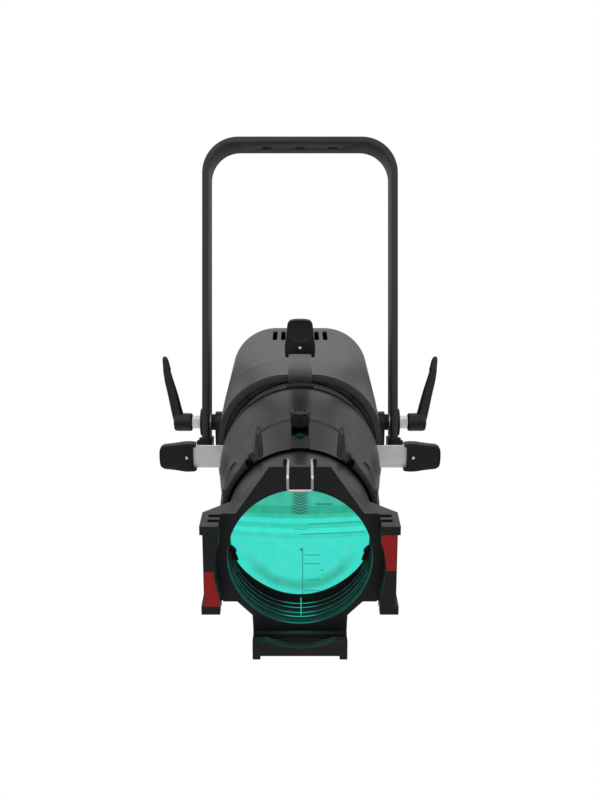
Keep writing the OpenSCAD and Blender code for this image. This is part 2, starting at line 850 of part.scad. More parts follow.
// Thin labels on the front faces of the holder's sides
module grip_labels() color([0.6, 0.1, 0.08]) optic() {
  for (a = [0, 180]) rotate(a) difference() {
    block(ear_in, ear_side, 0.5, ear_h / 2 - foot_h, holder_front + 0.02, holder_front + 0.4);
    rod(75.4, holder_front - 1, holder_front + 1);
  }
}

yoke();
yoke_end_caps();
pivot_discs();
mirror([1, 0, 0]) tilt_lever();  // left_tilt_lever
mirror([1, 0, 0]) clamp_stud();  // left_clamp_stud
mirror([1, 0, 0]) lever_screw();  // left_lever_screw
tilt_lever();  // right_tilt_lever
clamp_stud();  // right_clamp_stud
lever_screw();  // right_lever_screw
housing_shell();
front_housing();
front_bezel();
bezel_lugs();
rear_cover();
rear_panel();
display_window();
rear_screws();
pivot_brackets();
bracket_screws();
pivot_washers();
chassis_tray();
heat_sink();
led_board();
led_array();
collimator();
condenser_lens();
fan_frame();
fan_rotor();
power_supply();
control_board();
power_sockets();
data_sockets();
panel_button(0);  // menu_button
panel_button(1);  // up_button
panel_button(2);  // down_button
panel_button(3);  // enter_button
gate_ring();
barrel_retainer();
barrel_top();
barrel_bottom();
barrel_screws();
tall_blade(0);  // top_shutter_blade
tall_handle(0);  // top_shutter_handle
tall_blade(180);  // bottom_shutter_blade
tall_handle(180);  // bottom_shutter_handle
side_blade(90);  // left_shutter_blade
side_handle(90);  // left_shutter_handle
side_blade(-90);  // right_shutter_blade
side_handle(-90);  // right_shutter_handle
left_tube_half();
right_tube_half();
front_lens();
rear_lens();
lens_retainers();
focus_slider();
focus_spring();
focus_knob();
focus_stud();
frame_clip();
grip_labels();
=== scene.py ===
"""Looks of an ellipsoidal stage spotlight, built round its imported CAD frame."""

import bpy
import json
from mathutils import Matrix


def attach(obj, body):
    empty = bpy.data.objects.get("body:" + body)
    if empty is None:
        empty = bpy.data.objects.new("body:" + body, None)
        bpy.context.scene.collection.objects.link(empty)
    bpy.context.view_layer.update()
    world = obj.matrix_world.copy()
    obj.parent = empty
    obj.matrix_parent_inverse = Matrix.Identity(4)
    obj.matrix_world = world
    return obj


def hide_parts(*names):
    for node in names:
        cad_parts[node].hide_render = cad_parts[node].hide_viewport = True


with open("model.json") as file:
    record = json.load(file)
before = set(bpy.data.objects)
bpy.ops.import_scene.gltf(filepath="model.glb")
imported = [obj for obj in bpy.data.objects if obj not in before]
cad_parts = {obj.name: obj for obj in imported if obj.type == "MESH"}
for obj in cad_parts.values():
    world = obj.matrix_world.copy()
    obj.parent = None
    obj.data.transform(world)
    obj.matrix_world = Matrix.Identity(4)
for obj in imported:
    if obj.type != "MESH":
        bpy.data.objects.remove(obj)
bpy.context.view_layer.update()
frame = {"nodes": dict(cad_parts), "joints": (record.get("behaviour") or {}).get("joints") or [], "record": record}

import json
import math

import bmesh
import bpy
from mathutils import Matrix, Vector

MM = 0.001
NODES = frame["nodes"]
RECORD = frame["record"]
JOINTS = {j["name"]: j for j in frame["joints"]}
BODY_OF = {n: body for body, members in RECORD["behaviour"]["bodies"].items() for n in members}
SLOT_OF = {part["node"]: part["material_slot"] for part in RECORD["subparts"]}
SIDES = {"right": 1, "left": -1}

# Optical frame in millimetres: X across, Y away from the axis, Z forward along the beam.
PIVOT = Vector(JOINTS["tilt"]["pos_m"])
ACROSS = Vector((1, 0, 0))
BEAM = Vector(JOINTS["barrel_turn"]["axis"]).normalized()
UPWARD = BEAM.cross(ACROSS)
AXIS_RISE = (Vector(JOINTS["barrel_turn"]["pos_m"]) - PIVOT).dot(UPWARD)
OPTIC = (
    Matrix.Translation(PIVOT + UPWARD * AXIS_RISE)
    @ Matrix((ACROSS, UPWARD, BEAM)).transposed().to_4x4()
    @ Matrix.Scale(MM, 4)
)
# Hanging frame in millimetres: the shared frame's own directions, with the origin on the tilt axis.
HANGING = Matrix.Translation(PIVOT) @ Matrix.Scale(MM, 4)


# ---- Materials ----

class Finish:
    """A procedural material being built: its Principled shader and short ways to add nodes."""

    def __init__(self, name, **constants):
        self.material = bpy.data.materials.new(name)
        self.material.use_nodes = True
        self.tree = self.material.node_tree
        self.tree.nodes.clear()
        self.shader = self.add("ShaderNodeBsdfPrincipled")
        output = self.add("ShaderNodeOutputMaterial")
        self.tree.links.new(self.shader.outputs[0], output.inputs["Surface"])
        for socket, value in constants.items():
            self.shader.inputs[socket.replace("_", " ")].default_value = value
        coordinates = self.add("ShaderNodeTexCoord")
        self.place = coordinates.outputs["Object"]
        self.facing = coordinates.outputs["Normal"]

    def add(self, kind, **settings):
        node = self.tree.nodes.new(kind)
        for key, value in settings.items():
            setattr(node, key, value)
        return node

    def feed(self, socket, value):
        if isinstance(value, bpy.types.NodeSocket):
            self.tree.links.new(value, socket)
        else:
            socket.default_value = value

    def set(self, socket, value):
        self.feed(self.shader.inputs[socket], value)

    def math(self, operation, a, b=0.0):
        node = self.add("ShaderNodeMath", operation=operation)
        self.feed(node.inputs[0], a)
        self.feed(node.inputs[1], b)
        return node.outputs[0]

    def along(self, direction, origin=(0, 0, 0)):
        """Distance in millimetres along a direction, from an origin in the shared frame."""
        shifted = self.add("ShaderNodeVectorMath", operation="SUBTRACT")
        self.feed(shifted.inputs[0], self.place)
        self.feed(shifted.inputs[1], tuple(origin))
        dot = self.add("ShaderNodeVectorMath", operation="DOT_PRODUCT")
        self.feed(dot.inputs[0], shifted.outputs[0])
        self.feed(dot.inputs[1], tuple(Vector(direction) / MM))
        return dot.outputs["Value"]

    def noise(self, size, detail=3.0, rough=0.55, stretch=(1, 1, 1)):
        """Noise whose features are about size millimetres across, longer where stretch is above 1."""
        mapping = self.add("ShaderNodeMapping")
        self.feed(mapping.inputs["Vector"], self.place)
        mapping.inputs["Scale"].default_value = [1 / s for s in stretch]
        node = self.add("ShaderNodeTexNoise")
        self.feed(node.inputs["Vector"], mapping.outputs[0])
        node.inputs["Scale"].default_value = 1 / (size * MM)
        node.inputs["Detail"].default_value = detail
        node.inputs["Roughness"].default_value = rough
        return node.outputs["Fac"]

    def spread(self, value, low, high, start=0.3, end=0.7):
        """Maps a value from start..end onto low..high, smoothly."""
        node = self.add("ShaderNodeMapRange", interpolation_type="SMOOTHSTEP")
        self.feed(node.inputs["Value"], value)
        for name, number in (("From Min", start), ("From Max", end), ("To Min", low), ("To Max", high)):
            node.inputs[name].default_value = number
        return node.outputs["Result"]

    def blend(self, factor, a, b):
        node = self.add("ShaderNodeMix", data_type="RGBA")
        self.feed(node.inputs[0], factor)
        for socket, value in ((node.inputs[6], a), (node.inputs[7], b)):
            self.feed(socket, value if isinstance(value, bpy.types.NodeSocket) else (*value, 1))
        return node.outputs[2]

    def ramp(self, value, stops):
        """Colours along a value: stops are (position, colour)."""
        node = self.add("ShaderNodeValToRGB")
        self.feed(node.inputs[0], value)
        elements = node.color_ramp.elements
        while len(elements) < len(stops):
            elements.new(0.5)
        for element, (position, colour) in zip(elements, sorted(stops, key=lambda s: s[0])):
            element.position = position
            element.color = (*colour, 1)
        return node.outputs[0]

    def edges(self, radius=0.6):
        """(rounded normal, mask of the corners) from a bevel of radius millimetres."""
        bevel = self.add("ShaderNodeBevel", samples=4)
        bevel.inputs["Radius"].default_value = radius * MM
        geometry = self.add("ShaderNodeNewGeometry")
        dot = self.add("ShaderNodeVectorMath", operation="DOT_PRODUCT")
        self.feed(dot.inputs[0], bevel.outputs[0])
        self.feed(dot.inputs[1], geometry.outputs["Normal"])
        return bevel.outputs[0], self.spread(dot.outputs["Value"], 1.0, 0.0, 0.82, 0.99)

    def bump(self, height, depth, base=None):
        """Feeds the shader a normal bumped by height, depth millimetres deep, over a base normal."""
        node = self.add("ShaderNodeBump")
        node.inputs["Distance"].default_value = depth * MM
        self.feed(node.inputs["Height"], height)
        if base is not None:
            self.feed(node.inputs["Normal"], base)
        self.set("Normal", node.outputs[0])


DUST = (0.32, 0.3, 0.28)


def coated(name, colour, worn, roughness, grain, depth, radius=0.6, wear=0.5, dust=0.05, **constants):
    """Paint or moulded plastic: uneven colour, grain, wear along the edges and dust on what faces up."""
    f = Finish(name, **constants)
    rounded, corners = f.edges(radius)
    broad = f.noise(70, 2)
    fine = f.noise(grain, 2, 0.6)
    mottle = f.noise(7, 4, 0.62)
    tone = f.math("ADD", f.math("MULTIPLY", broad, 0.6), f.math("MULTIPLY", mottle, 0.4))
    base = f.blend(f.spread(tone, 0, 1, 0.35, 0.65), [c * 0.92 for c in colour], [c * 1.08 for c in colour])
    chipped = f.math("MULTIPLY", corners, f.spread(f.noise(2.4, 4, 0.7), 0, wear, 0.38, 0.62))
    base = f.blend(chipped, base, worn)
    up = f.add("ShaderNodeSeparateXYZ")
    f.feed(up.inputs[0], f.facing)
    level = f.spread(up.outputs[2], 0, dust, 0.2, 0.95)
    settled = f.math("MULTIPLY", level, f.spread(f.noise(18, 5, 0.65), 0.35, 1))
    f.set("Base Color", f.blend(settled, base, DUST))
    shine = f.spread(f.noise(24, 5, 0.6), roughness * 0.96, roughness * 1.05)
    f.set("Roughness", f.math("ADD", shine, f.math("MULTIPLY", f.math("SUBTRACT", fine, 0.5), 0.08)))
    f.bump(f.math("ADD", fine, f.math("MULTIPLY", mottle, 0.6)), depth, rounded)
    return f.material


def metal(name, colour, stained, roughness, stretch, streak=0.35, radius=0.35, **constants):
    """Bare metal with brushed streaks, faint stains and softened edges."""
    f = Finish(name, Metallic=1.0, **constants)
    rounded, corners = f.edges(radius)
    brushed = f.noise(streak, 3, 0.6, stretch)
    cloud = f.noise(14, 4, 0.6)
    base = f.blend(f.spread(cloud, 0, 1, 0.42, 0.72), colour, stained)
    base = f.blend(f.spread(brushed, 0, 0.35), base, [c * 0.72 for c in colour])
    f.set("Base Color", f.blend(f.math("MULTIPLY", corners, 0.35), base, [min(1, c * 1.2) for c in colour]))
    f.set("Roughness", f.math("ADD", f.spread(brushed, roughness * 0.8, roughness * 1.25),
                              f.math("MULTIPLY", cloud, 0.08)))
    f.bump(brushed, 0.02, rounded)
    return f.material


def circuit_finish():
    f = Finish("circuit_board", Coat_Weight=0.3, Coat_Roughness=0.2)
    rounded, _ = f.edges(0.2)
    cells = f.add("ShaderNodeTexVoronoi", feature="DISTANCE_TO_EDGE")
    f.feed(cells.inputs["Vector"], f.place)
    cells.inputs["Scale"].default_value = 260
    tracks = f.spread(cells.outputs["Distance"], 1, 0, 0.03, 0.06)
    base = f.blend(f.spread(f.noise(9), 0, 1), (0.012, 0.075, 0.035), (0.02, 0.11, 0.05))
    f.set("Base Color", f.blend(tracks, base, (0.35, 0.3, 0.12)))
    f.set("Roughness", f.spread(f.noise(3), 0.32, 0.5))
    f.bump(tracks, 0.05, rounded)
    return f.material


def emitter_finish():
    f = Finish("emitter", Emission_Strength=0.6)
    rounded, _ = f.edges(0.2)
    grain = f.noise(0.5, 3)
    f.set("Base Color", f.blend(f.spread(grain, 0, 1), (0.72, 0.5, 0.05), (0.85, 0.68, 0.12)))
    f.set("Emission Color", f.blend(f.spread(f.noise(4), 0, 1), (0.5, 0.36, 0.06), (0.7, 0.55, 0.16)))
    f.set("Roughness", f.spread(grain, 0.35, 0.55))
    f.bump(grain, 0.04, rounded)
    return f.material


def glass_finish(name, tint, **constants):
    f = Finish(name, **constants)
    film = f.noise(16, 4, 0.6)
    f.set("Base Color", f.blend(f.spread(film, 0, 1), tint, [c * 0.97 for c in tint]))
    f.set("Roughness", f.spread(film, 0.015, 0.045))
    f.bump(f.noise(30, 1), 0.02)
    return f.material


def display_finish():
    f = Finish("display_glass", Coat_Weight=0.8, Coat_Roughness=0.05, Emission_Strength=0.25)
    rounded, _ = f.edges(0.3)
    sheen = f.noise(22, 2)
    f.set("Base Color", f.blend(f.spread(sheen, 0, 1), (0.006, 0.01, 0.02), (0.012, 0.02, 0.04)))
    lines = f.spread(f.math("PINGPONG", f.along(UPWARD), 0.25), 0.4, 1, 0.05, 0.15)
    glow = f.blend(f.spread(sheen, 0, 1), (0.01, 0.035, 0.08), (0.016, 0.055, 0.12))
    f.set("Emission Color", f.blend(lines, (0.004, 0.012, 0.03), glow))
    f.set("Roughness", f.spread(sheen, 0.1, 0.2))
    f.bump(f.noise(8, 2), 0.02, rounded)
    return f.material


FINISH = {
    "yoke_paint": coated("yoke_paint", (0.015, 0.015, 0.016), (0.09, 0.09, 0.09), 0.5, 1.1, 0.05,
                         radius=0.8, wear=0.35, Specular_IOR_Level=0.38),
    "black_plastic": coated("black_plastic", (0.0075, 0.0075, 0.008), (0.03, 0.03, 0.03), 0.42, 0.45, 0.03,
                            wear=0.3, dust=0.02, Specular_IOR_Level=0.26),
    "housing_paint": coated("housing_paint", (0.0285, 0.0285, 0.0295), (0.09, 0.09, 0.09), 0.42, 0.9, 0.03,
                            wear=0.3, dust=0.03, Specular_IOR_Level=0.5),
    "casting_paint": coated("casting_paint", (0.0085, 0.0085, 0.009), (0.06, 0.06, 0.06), 0.36, 1.3, 0.04,
                            radius=0.7, wear=0.25, dust=0.01, Specular_IOR_Level=0.3),
    "barrel_paint": coated("barrel_paint", (0.007, 0.007, 0.0074), (0.06, 0.06, 0.06), 0.33, 1.3, 0.04,
                           radius=0.7, wear=0.25, dust=0.01, Specular_IOR_Level=0.19),
    "black_rubber": coated("black_rubber", (0.0012, 0.0012, 0.0012), (0.004, 0.004, 0.004), 0.9, 0.4, 0.03,
                           wear=0.1, dust=0.0, Specular_IOR_Level=0.04),
    "bright_steel": metal("bright_steel", (0.66, 0.65, 0.63), (0.52, 0.51, 0.5), 0.24, (1, 14, 1)),
    "blade_steel": metal("blade_steel", (0.9, 0.9, 0.89), (0.8, 0.79, 0.77), 0.36, (1, 1, 18)),
    "aluminium": metal("aluminium", (0.7, 0.7, 0.71), (0.6, 0.6, 0.61), 0.38, (12, 1, 1), 0.5),
    "circuit_board": circuit_finish(),
    "emitter": emitter_finish(),
    "lens_glass": glass_finish("lens_glass", (0.98, 1.0, 1.0), Transmission_Weight=1.0, IOR=1.1),
    "display_glass": display_finish(),
    "socket_blue": coated("socket_blue", (0.012, 0.05, 0.2), (0.05, 0.1, 0.26), 0.4, 0.5, 0.03,
                          wear=0.3, dust=0.02),
    "label_red": coated("label_red", (0.27, 0.006, 0.006), (0.33, 0.05, 0.045), 0.5, 0.6, 0.02,
                        radius=0.1, wear=0.2, dust=0.0, Specular_IOR_Level=0.3),
}


# ---- Mesh tools ----

def skin(rings, fanned=False):
    """(points, faces) that join closed rings of one length in turn.
    The ends are flat faces, or a fan to the ring's middle if fanned."""
    count = len(rings[0])
    points = [tuple(p) for ring in rings for p in ring]
    faces = []
    for i in range(len(rings) - 1):
        for j in range(count):
            k = (j + 1) % count
            faces.append((i * count + j, i * count + k, (i + 1) * count + k, (i + 1) * count + j))
    first, final = range(count - 1, -1, -1), range((len(rings) - 1) * count, len(rings) * count)
    if not fanned:
        return points, faces + [tuple(first), tuple(final)]
    for loop in (list(first), list(final)):
        middle = sum((Vector(points[i]) for i in loop), Vector()) / count
        points.append(tuple(middle))
        faces += [(loop[i], loop[(i + 1) % count], len(points) - 1) for i in range(count)]
    return points, faces


def turned(profile, sides=64, swell=None):
    """(points, faces) turned about Z from (radius, height) points that start and end on the axis.
    swell(angle, height) adds to the radius."""
    rings = []
    for radius, height in profile[1:-1]:
        ring = []
        for i in range(sides):
            angle = 2 * math.pi * i / sides
            r = radius + (swell(angle, height) if swell else 0)
            ring.append((r * math.cos(angle), r * math.sin(angle), height))
        rings.append(ring)
    points, faces = skin(rings, fanned=True)
    points[-2] = (0, 0, profile[0][1])
    points[-1] = (0, 0, profile[-1][1])
    return points, faces


def lathe_ring(inner, outer, low, high, ease=0.3, sides=64):
    """(points, faces) of a flat ring about Z with its edges eased."""
    profile = [
        (inner, low + ease), (inner + ease, low), (outer - ease, low), (outer, low + ease),
        (outer, high - ease), (outer - ease, high), (inner + ease, high), (inner, high - ease),
    ]
    points, faces, count = [], [], len(profile)
    for i in range(sides):
        angle = 2 * math.pi * i / sides
        points += [(r * math.cos(angle), r * math.sin(angle), z) for r, z in profile]
        for j in range(count):
            a, b = i * count, (i + 1) % sides * count
            faces.append((a + j, a + (j + 1) % count, b + (j + 1) % count, b + j))
    return points, faces


def tube_along(path, radius, sides=16):
    """(points, faces) of a round bar that follows a path of points."""
    rings, side = [], None
    for i, here in enumerate(path):
        before, after = path[max(i - 1, 0)], path[min(i + 1, len(path) - 1)]
        ahead = (after - before).normalized()
        if side is None:
            side = ahead.orthogonal().normalized()
        side = (side - ahead * side.dot(ahead)).normalized()
        over = ahead.cross(side)
        rings.append([
            here + (side * math.cos(a) + over * math.sin(a)) * radius
            for a in (2 * math.pi * k / sides for k in range(sides))
        ])
    return skin(rings)


def rounded_path(corners, radius, steps=6):
    """Points along straight runs whose inner corners are rounded by short curves."""
    corners = [Vector(c) for c in corners]
    path = [corners[0]]
    for before, corner, after in zip(corners, corners[1:], corners[2:]):
        start = corner + (before - corner).normalized() * radius
        end = corner + (after - corner).normalized() * radius
        for i in range(steps + 1):
            t = i / steps
            path.append(start * (1 - t) ** 2 + corner * 2 * t * (1 - t) + end * t ** 2)
    return path + [corners[-1]]


def merged(*parts):
    """One (points, faces) from several."""
    points, faces = [], []
    for some_points, some_faces in parts:
        faces += [tuple(i + len(points) for i in face) for face in some_faces]
        points += list(some_points)
    return points, faces


def moved(part, matrix):
    points, faces = part
    return [tuple(matrix @ Vector(p)) for p in points], faces


def piece(name, part, place):
    """A new object from (points, faces), placed in the shared frame, with its faces turned outward."""
    points, faces = part
    mesh = bpy.data.meshes.new(name)
    mesh.from_pydata([place @ Vector(p) for p in points], [], faces)
    made = bmesh.new()
    made.from_mesh(mesh)
    bmesh.ops.recalc_face_normals(made, faces=made.faces)
    made.to_mesh(mesh)
    made.free()
    obj = bpy.data.objects.new(name, mesh)
    bpy.context.scene.collection.objects.link(obj)
    return obj


def settle(obj):
    """Applies the modifiers of an object to its mesh."""
    graph = bpy.context.evaluated_depsgraph_get()
    mesh = bpy.data.meshes.new_from_object(obj.evaluated_get(graph))
    obj.modifiers.clear()
    old, obj.data = obj.data, mesh
    bpy.data.meshes.remove(old)
    return obj


def combine(obj, tool, operation="DIFFERENCE"):
    """Cuts obj with a tool, or joins them, and removes the tool."""
    modifier = obj.modifiers.new("combine", "BOOLEAN")
    modifier.object, modifier.operation, modifier.solver = tool, operation, "MANIFOLD"
    settle(obj)
    bpy.data.objects.remove(tool)
    return obj


def box_part(low, high):
    (x0, y0, z0), (x1, y1, z1) = low, high
    return skin([[(x0, y0, z), (x1, y0, z), (x1, y1, z), (x0, y1, z)] for z in (z0, z1)])


def dress(obj, body, slot, *nodes, sharp=32, finish=None):
    """Gives a new piece its material and shading, puts it on the body it rides on, and hides the CAD nodes it
    stands for.
    """
    obj.data.materials.clear()
    obj.data.materials.append(finish or FINISH[slot])
    obj.data.shade_smooth()
    obj.data.set_sharp_from_angle(angle=math.radians(sharp))
    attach(obj, body)
    if nodes:
        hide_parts(*nodes)
    return obj


def soften(node, width, segments=2):
    """A copy of a CAD node with its hard edges rounded, which stands for the node."""
    mesh = NODES[node].data.copy()
    mesh.materials.clear()
    made = bmesh.new()
    made.from_mesh(mesh)
    bmesh.ops.remove_doubles(made, verts=made.verts, dist=0.002 * MM)
    bmesh.ops.dissolve_limit(made, angle_limit=math.radians(0.5), verts=made.verts, edges=made.edges)
    made.to_mesh(mesh)
    made.free()
    for name in ("custom_normal", "sharp_edge"):
        if name in mesh.attributes:
            mesh.attributes.remove(mesh.attributes[name])
    obj = bpy.data.objects.new(node + "_rounded", mesh)
    bpy.context.scene.collection.objects.link(obj)
    modifier = obj.modifiers.new("round", "BEVEL")
    modifier.width, modifier.segments = width * MM, segments
    modifier.limit_method, modifier.angle_limit = "ANGLE", math.radians(30)
    modifier.use_clamp_overlap = False
    settle(obj)
    return dress(obj, BODY_OF[node], SLOT_OF[node], node)


def along_table(table, at):
    """A smooth value at a place, from (place, value) pairs in rising order."""
    if at <= table[0][0]:
        return table[0][1]
    for i in range(len(table) - 1):
        (x0, y0), (x1, y1) = table[i], table[i + 1]
        if at <= x1:
            before, after = table[max(i - 1, 0)], table[min(i + 2, len(table) - 1)]
            span = x1 - x0
            m0 = (y1 - before[1]) / max(x1 - before[0], 1e-6) * span
            m1 = (after[1] - y0) / max(after[0] - x0, 1e-6) * span
            t = (at - x0) / span
            return ((2 * t ** 3 - 3 * t ** 2 + 1) * y0 + (t ** 3 - 2 * t ** 2 + t) * m0
                    + (3 * t ** 2 - 2 * t ** 3) * y1 + (t ** 3 - t ** 2) * m1)
    return table[-1][1]


def rise(value, start, end):
    """0 before start, 1 after end, and smooth between them."""
    t = min(1, max(0, (value - start) / (end - start)))
    return t * t * (3 - 2 * t)


def window(value, low, high, soft):
    return rise(value, low - soft, low) * (1 - rise(value, high, high + soft))


def hill(value, centre, width):
    return math.exp(-((value - centre) / width) ** 2)


# ---- Barrel castings ----

BARREL_WALL = [
    (178, 84.5), (180, 86.2), (184, 87.8), (191, 88.9), (201, 89.2), (214, 88.6), (238, 86.4),
    (262, 83.6), (278, 82), (284, 81.5), (292, 81.2), (336, 79.6), (344, 78.6), (348.5, 76.9), (350, 74.5),
]
BARREL_BORE = [
    (350, 72.2), (318, 72.2), (310, 75.6), (288, 77), (270, 78), (268, 72.2), (262, 72.2), (258, 79.5),
    (238, 82), (214, 85), (200, 85), (178, 80),
]
RIB_ANGLE = 36
RIB = ((262, 80.8, 4.6), (343, 78.2, 4.6))
# Between the two top ribs the collar is lowered to a cone: its start, end and radii, and its half angle.
PANEL = (278, 351, 81.3, 73.5)
PANEL_ANGLE = 32.6
PANEL_SAG = 8
# Openings in the collar's sides: angle, start and end along the beam, and half width.
SIDE_SLOTS = ((56.5, 315.5, 322.5, 5.2), (71, 336, 343, 1.6))
# Screw recess at the front end of each top rib: angle, distance from the axis and radius.
RECESS = (40.4, 75.4, 4.2)
# Counterbores of the screws that join the castings
SCREW_HOLE_R = 4.2
SCREW_HOLE_OUT = 79
SCREW_HOLE_TOP = -12
SCREW_HOLES_AT = (206, 236)


def rib_radius(off, s):
    """Radius of a rib's surface at an angle off its middle, or 0 where the rib isn't."""
    (s0, c0, r0), (s1, c1, r1) = RIB
    t = min(1, max(0, (s - s0) / (s1 - s0)))
    centre, radius = c0 + (c1 - c0) * t, r0 + (r1 - r0) * t
    reach = radius ** 2 - max(s0 - s, s - s1, 0) ** 2 - (centre * math.sin(off)) ** 2
    return centre * math.cos(off) + math.sqrt(reach) if reach > 0 else 0


def barrel_radius(angle, s, top):
    """Outer radius of the barrel, angle degrees from the casting's own middle."""
    a = abs(angle)
    radius = along_table(BARREL_WALL, s)
    radius -= 0.7 * hill(a, 48, 6) * window(s, 300, 338, 8)
    if top:
        start, end, wide, narrow = PANEL
        cone = wide + (narrow - wide) * (s - start) / (end - start)
        start += PANEL_SAG * (a / PANEL_ANGLE) ** 2
        inside = 1 - rise(a, PANEL_ANGLE - 0.6, PANEL_ANGLE + 0.6)
        radius += min(0, cone - radius) * rise(s, start, start + 3) * inside
        radius += 0.55 * hill(s, start - 0.8, 1.4) * inside
        radius -= 2.0 * hill(a, PANEL_ANGLE - 1.2, 1.7) * window(s, 276, 342, 8)
        radius += 1.3 * hill(a, 40.5 + 0.2 * (s - 325), 2.4) * window(s, 326, 345, 8)
    for middle, s0, s1, half in SIDE_SLOTS:
        reach = math.degrees(half / radius) + 0.8
        radius += 1.0 * window(a, middle - reach, middle + reach, 1.8) * window(s, s0 - 2, s1 + 1, 2.5)
    rib = rib_radius(math.radians(a - RIB_ANGLE), s)
    if rib > radius - 2:
        blend = max(0, 1 - abs(rib - radius) / 1.6)
        radius = max(rib, radius) + blend ** 2 * 0.4
    return radius


def spaced(start, end, step):
    count = max(1, round((end - start) / step))
    return [start + (end - start) * i / count for i in range(count + 1)]


def barrel_rows():
    rows = spaced(178, 192, 1) + spaced(195, 282, 3) + [283.5] + spaced(285, 291, 0.5)
    return rows + spaced(292, 347, 1) + [348, 348.8, 349.4, 349.8, 350]


def barrel_half(name, node, top):
    """One of the barrel's two castings: a skin over (angle, distance along the beam), then its cuts."""
    base = 0 if top else 180
    rows = barrel_rows()
    columns = []
    for a in spaced(-90, 90, 0.6):
        profile = [(barrel_radius(a, s, top), s) for s in rows] + [(r, s) for s, r in BARREL_BORE]
        turn = math.radians(base + a)
        columns.append([(r * math.sin(turn), r * math.cos(turn), s) for r, s in profile])
    casting = piece(name, skin(columns), OPTIC)
    tools = []
    for side in SIDES.values():
        for middle, s0, s1, half in SIDE_SLOTS:
            slit = box_part((-half, 70, s0), (half, 95, s1))
            angle = middle if top else 180 - middle
            tools.append(moved(slit, Matrix.Rotation(math.radians(-side * angle), 4, "Z")))
    if top:
        combine(casting, piece("slot_boss", slot_boss(), OPTIC), "UNION")
        combine(casting, piece("focus_notch", box_part((-8.4, 74.8, 303), (8.4, 100, 333)), OPTIC))
        tools.append(focus_slot_tool())
        angle, out, r = RECESS
        for side in SIDES.values():
            turn = math.radians(-side * angle)
            hole = turned([(0, 342), (r, 342), (r, 352), (0, 352)], 32)
            tools.append(moved(hole, Matrix.Translation((-out * math.sin(turn), out * math.cos(turn), 0))))
    else:
        for side in SIDES.values():
            for s in SCREW_HOLES_AT:
                hole = turned([(0, 0), (SCREW_HOLE_R, 0), (SCREW_HOLE_R, 60), (0, 60)], 32)
                spot = Matrix.Translation((side * SCREW_HOLE_OUT, SCREW_HOLE_TOP, s))
                tools.append(moved(hole, spot @ Matrix.Rotation(math.radians(90), 4, "X")))
    combine(casting, piece("barrel_tool", merged(*tools), OPTIC))
    return dress(casting, BODY_OF[node], SLOT_OF[node], node, sharp=38, finish=FINISH["barrel_paint"])


def slot_boss():
    """Raised block round the focus slot, sloping down to the rim, with its top edges eased."""
    low, crown = 76, 84.5
    rings = []
    for x, drop in ((-9.3, 0.9), (-9.1, 0.35), (-8.6, 0), (8.6, 0), (9.1, 0.35), (9.3, 0.9)):
        top, front = crown - drop, 350 - drop * 0.5
        outline = [(low, 300 + drop), (top, 300 + drop), (top, 324.5), (top - 0.5, 326), (74.3 - drop, front)]
        outline += [(72.6, front), (73, 318)]
        rings.append([(x, v, s) for v, s in outline])
    return skin(rings)


def focus_slot_tool():
    """Round-ended slot that the focus knob slides in."""
    half, start, end = 4.5, 293.5, 332.5
    turns = [math.pi * i / 12 for i in range(13)]
    outline = [(half * math.cos(t), end + half * math.sin(t)) for t in turns]
    outline += [(-half * math.cos(t), start - half * math.sin(t)) for t in turns]
    return skin([[(x, v, s) for x, s in outline] for v in (60, 100)])


def barrel_mouth_shade_ring():
    """Black ring in the barrel's mouth, painted shade for the shadowed gap between the barrel and the lens tube.
    """
    ring = piece("barrel_mouth_shade_ring", lathe_ring(71.5, 73.7, 350.1, 351.1, 0.2, 128), OPTIC)
    dress(ring, "barrel", "black_plastic", finish=FINISH["black_rubber"])


barrel_half("barrel_top_casting", "barrel_top", True)
barrel_half("barrel_bottom_casting", "barrel_bottom", False)
barrel_mouth_shade_ring()


# ---- Shutter handles ----

HANDLE_OUTLINE = [
    (0, 162), (5, 161.9), (9, 161.4), (11.4, 160.4), (13, 158.6), (13.9, 156.9), (14.3, 155.2), (14.8, 149.5),
    (15.4, 143.5), (16.1, 138.6), (16.9, 134), (17.1, 130), (17.1, 126), (16.8, 122.6), (16.2, 119.8),
    (15.1, 119.3), (14.1, 119.9), (13.6, 121.8), (12.6, 122.9), (8, 123.1), (0, 123.1),
]
HANDLE_PAD = [
    (0, 160.9), (6, 160.7), (9.6, 160.1), (11.5, 158), (12.4, 156), (12.8, 154), (12.95, 151), (12.9, 148),
    (12.6, 146), (12, 144), (10.8, 142.2), (9, 140.5), (6.8, 139), (4, 138), (0, 137.6),
]


def mirrored_outline(half):
    return half + [(-x, y) for x, y in reversed(half[1:-1])]


def shrunk(outline, amount, centre=(0, 142)):
    """The outline drawn in by about amount millimetres towards its own inside."""
    count = len(outline)
    result = []
    for i, (x, y) in enumerate(outline):
        before, after = outline[i - 1], outline[(i + 1) % count]
        tangent = Vector((after[0] - before[0], after[1] - before[1])).normalized()
        normal = Vector((-tangent.y, tangent.x))
        if normal.dot(Vector((centre[0] - x, centre[1] - y))) < 0:
            normal = -normal
        result.append((x + normal.x * amount, y + normal.y * amount))
    return result


def handle_half_thickness(y):
    return 6 - 1.5 * rise(y, 128, 158)


def handle_part():
    """The handle's outline raised to a moulded plate with rounded edges."""
    outline = mirrored_outline(HANDLE_OUTLINE)
    rings = []
    for inset, level in ((1.1, -1), (0.5, -0.97), (0.15, -0.88), (0, -0.74), (0, 0.74), (0.15, 0.88),
                         (0.5, 0.97), (1.1, 1)):
        rings.append([(x, y, level * handle_half_thickness(y)) for x, y in shrunk(outline, inset)])
    return skin(rings)


def pad_tool(side):
    """Cutter for the finger pad on one face, with sloped walls."""
    outline = mirrored_outline(HANDLE_PAD)
    rings = []
    for inset, depth in ((1.0, 0.55), (0.5, 0.5), (0.1, 0.15), (-0.4, -2)):
        rings.append([
            (x, y, side * (handle_half_thickness(y) - depth)) for x, y in shrunk(outline, inset, (0, 149))
        ])
    return skin(rings)


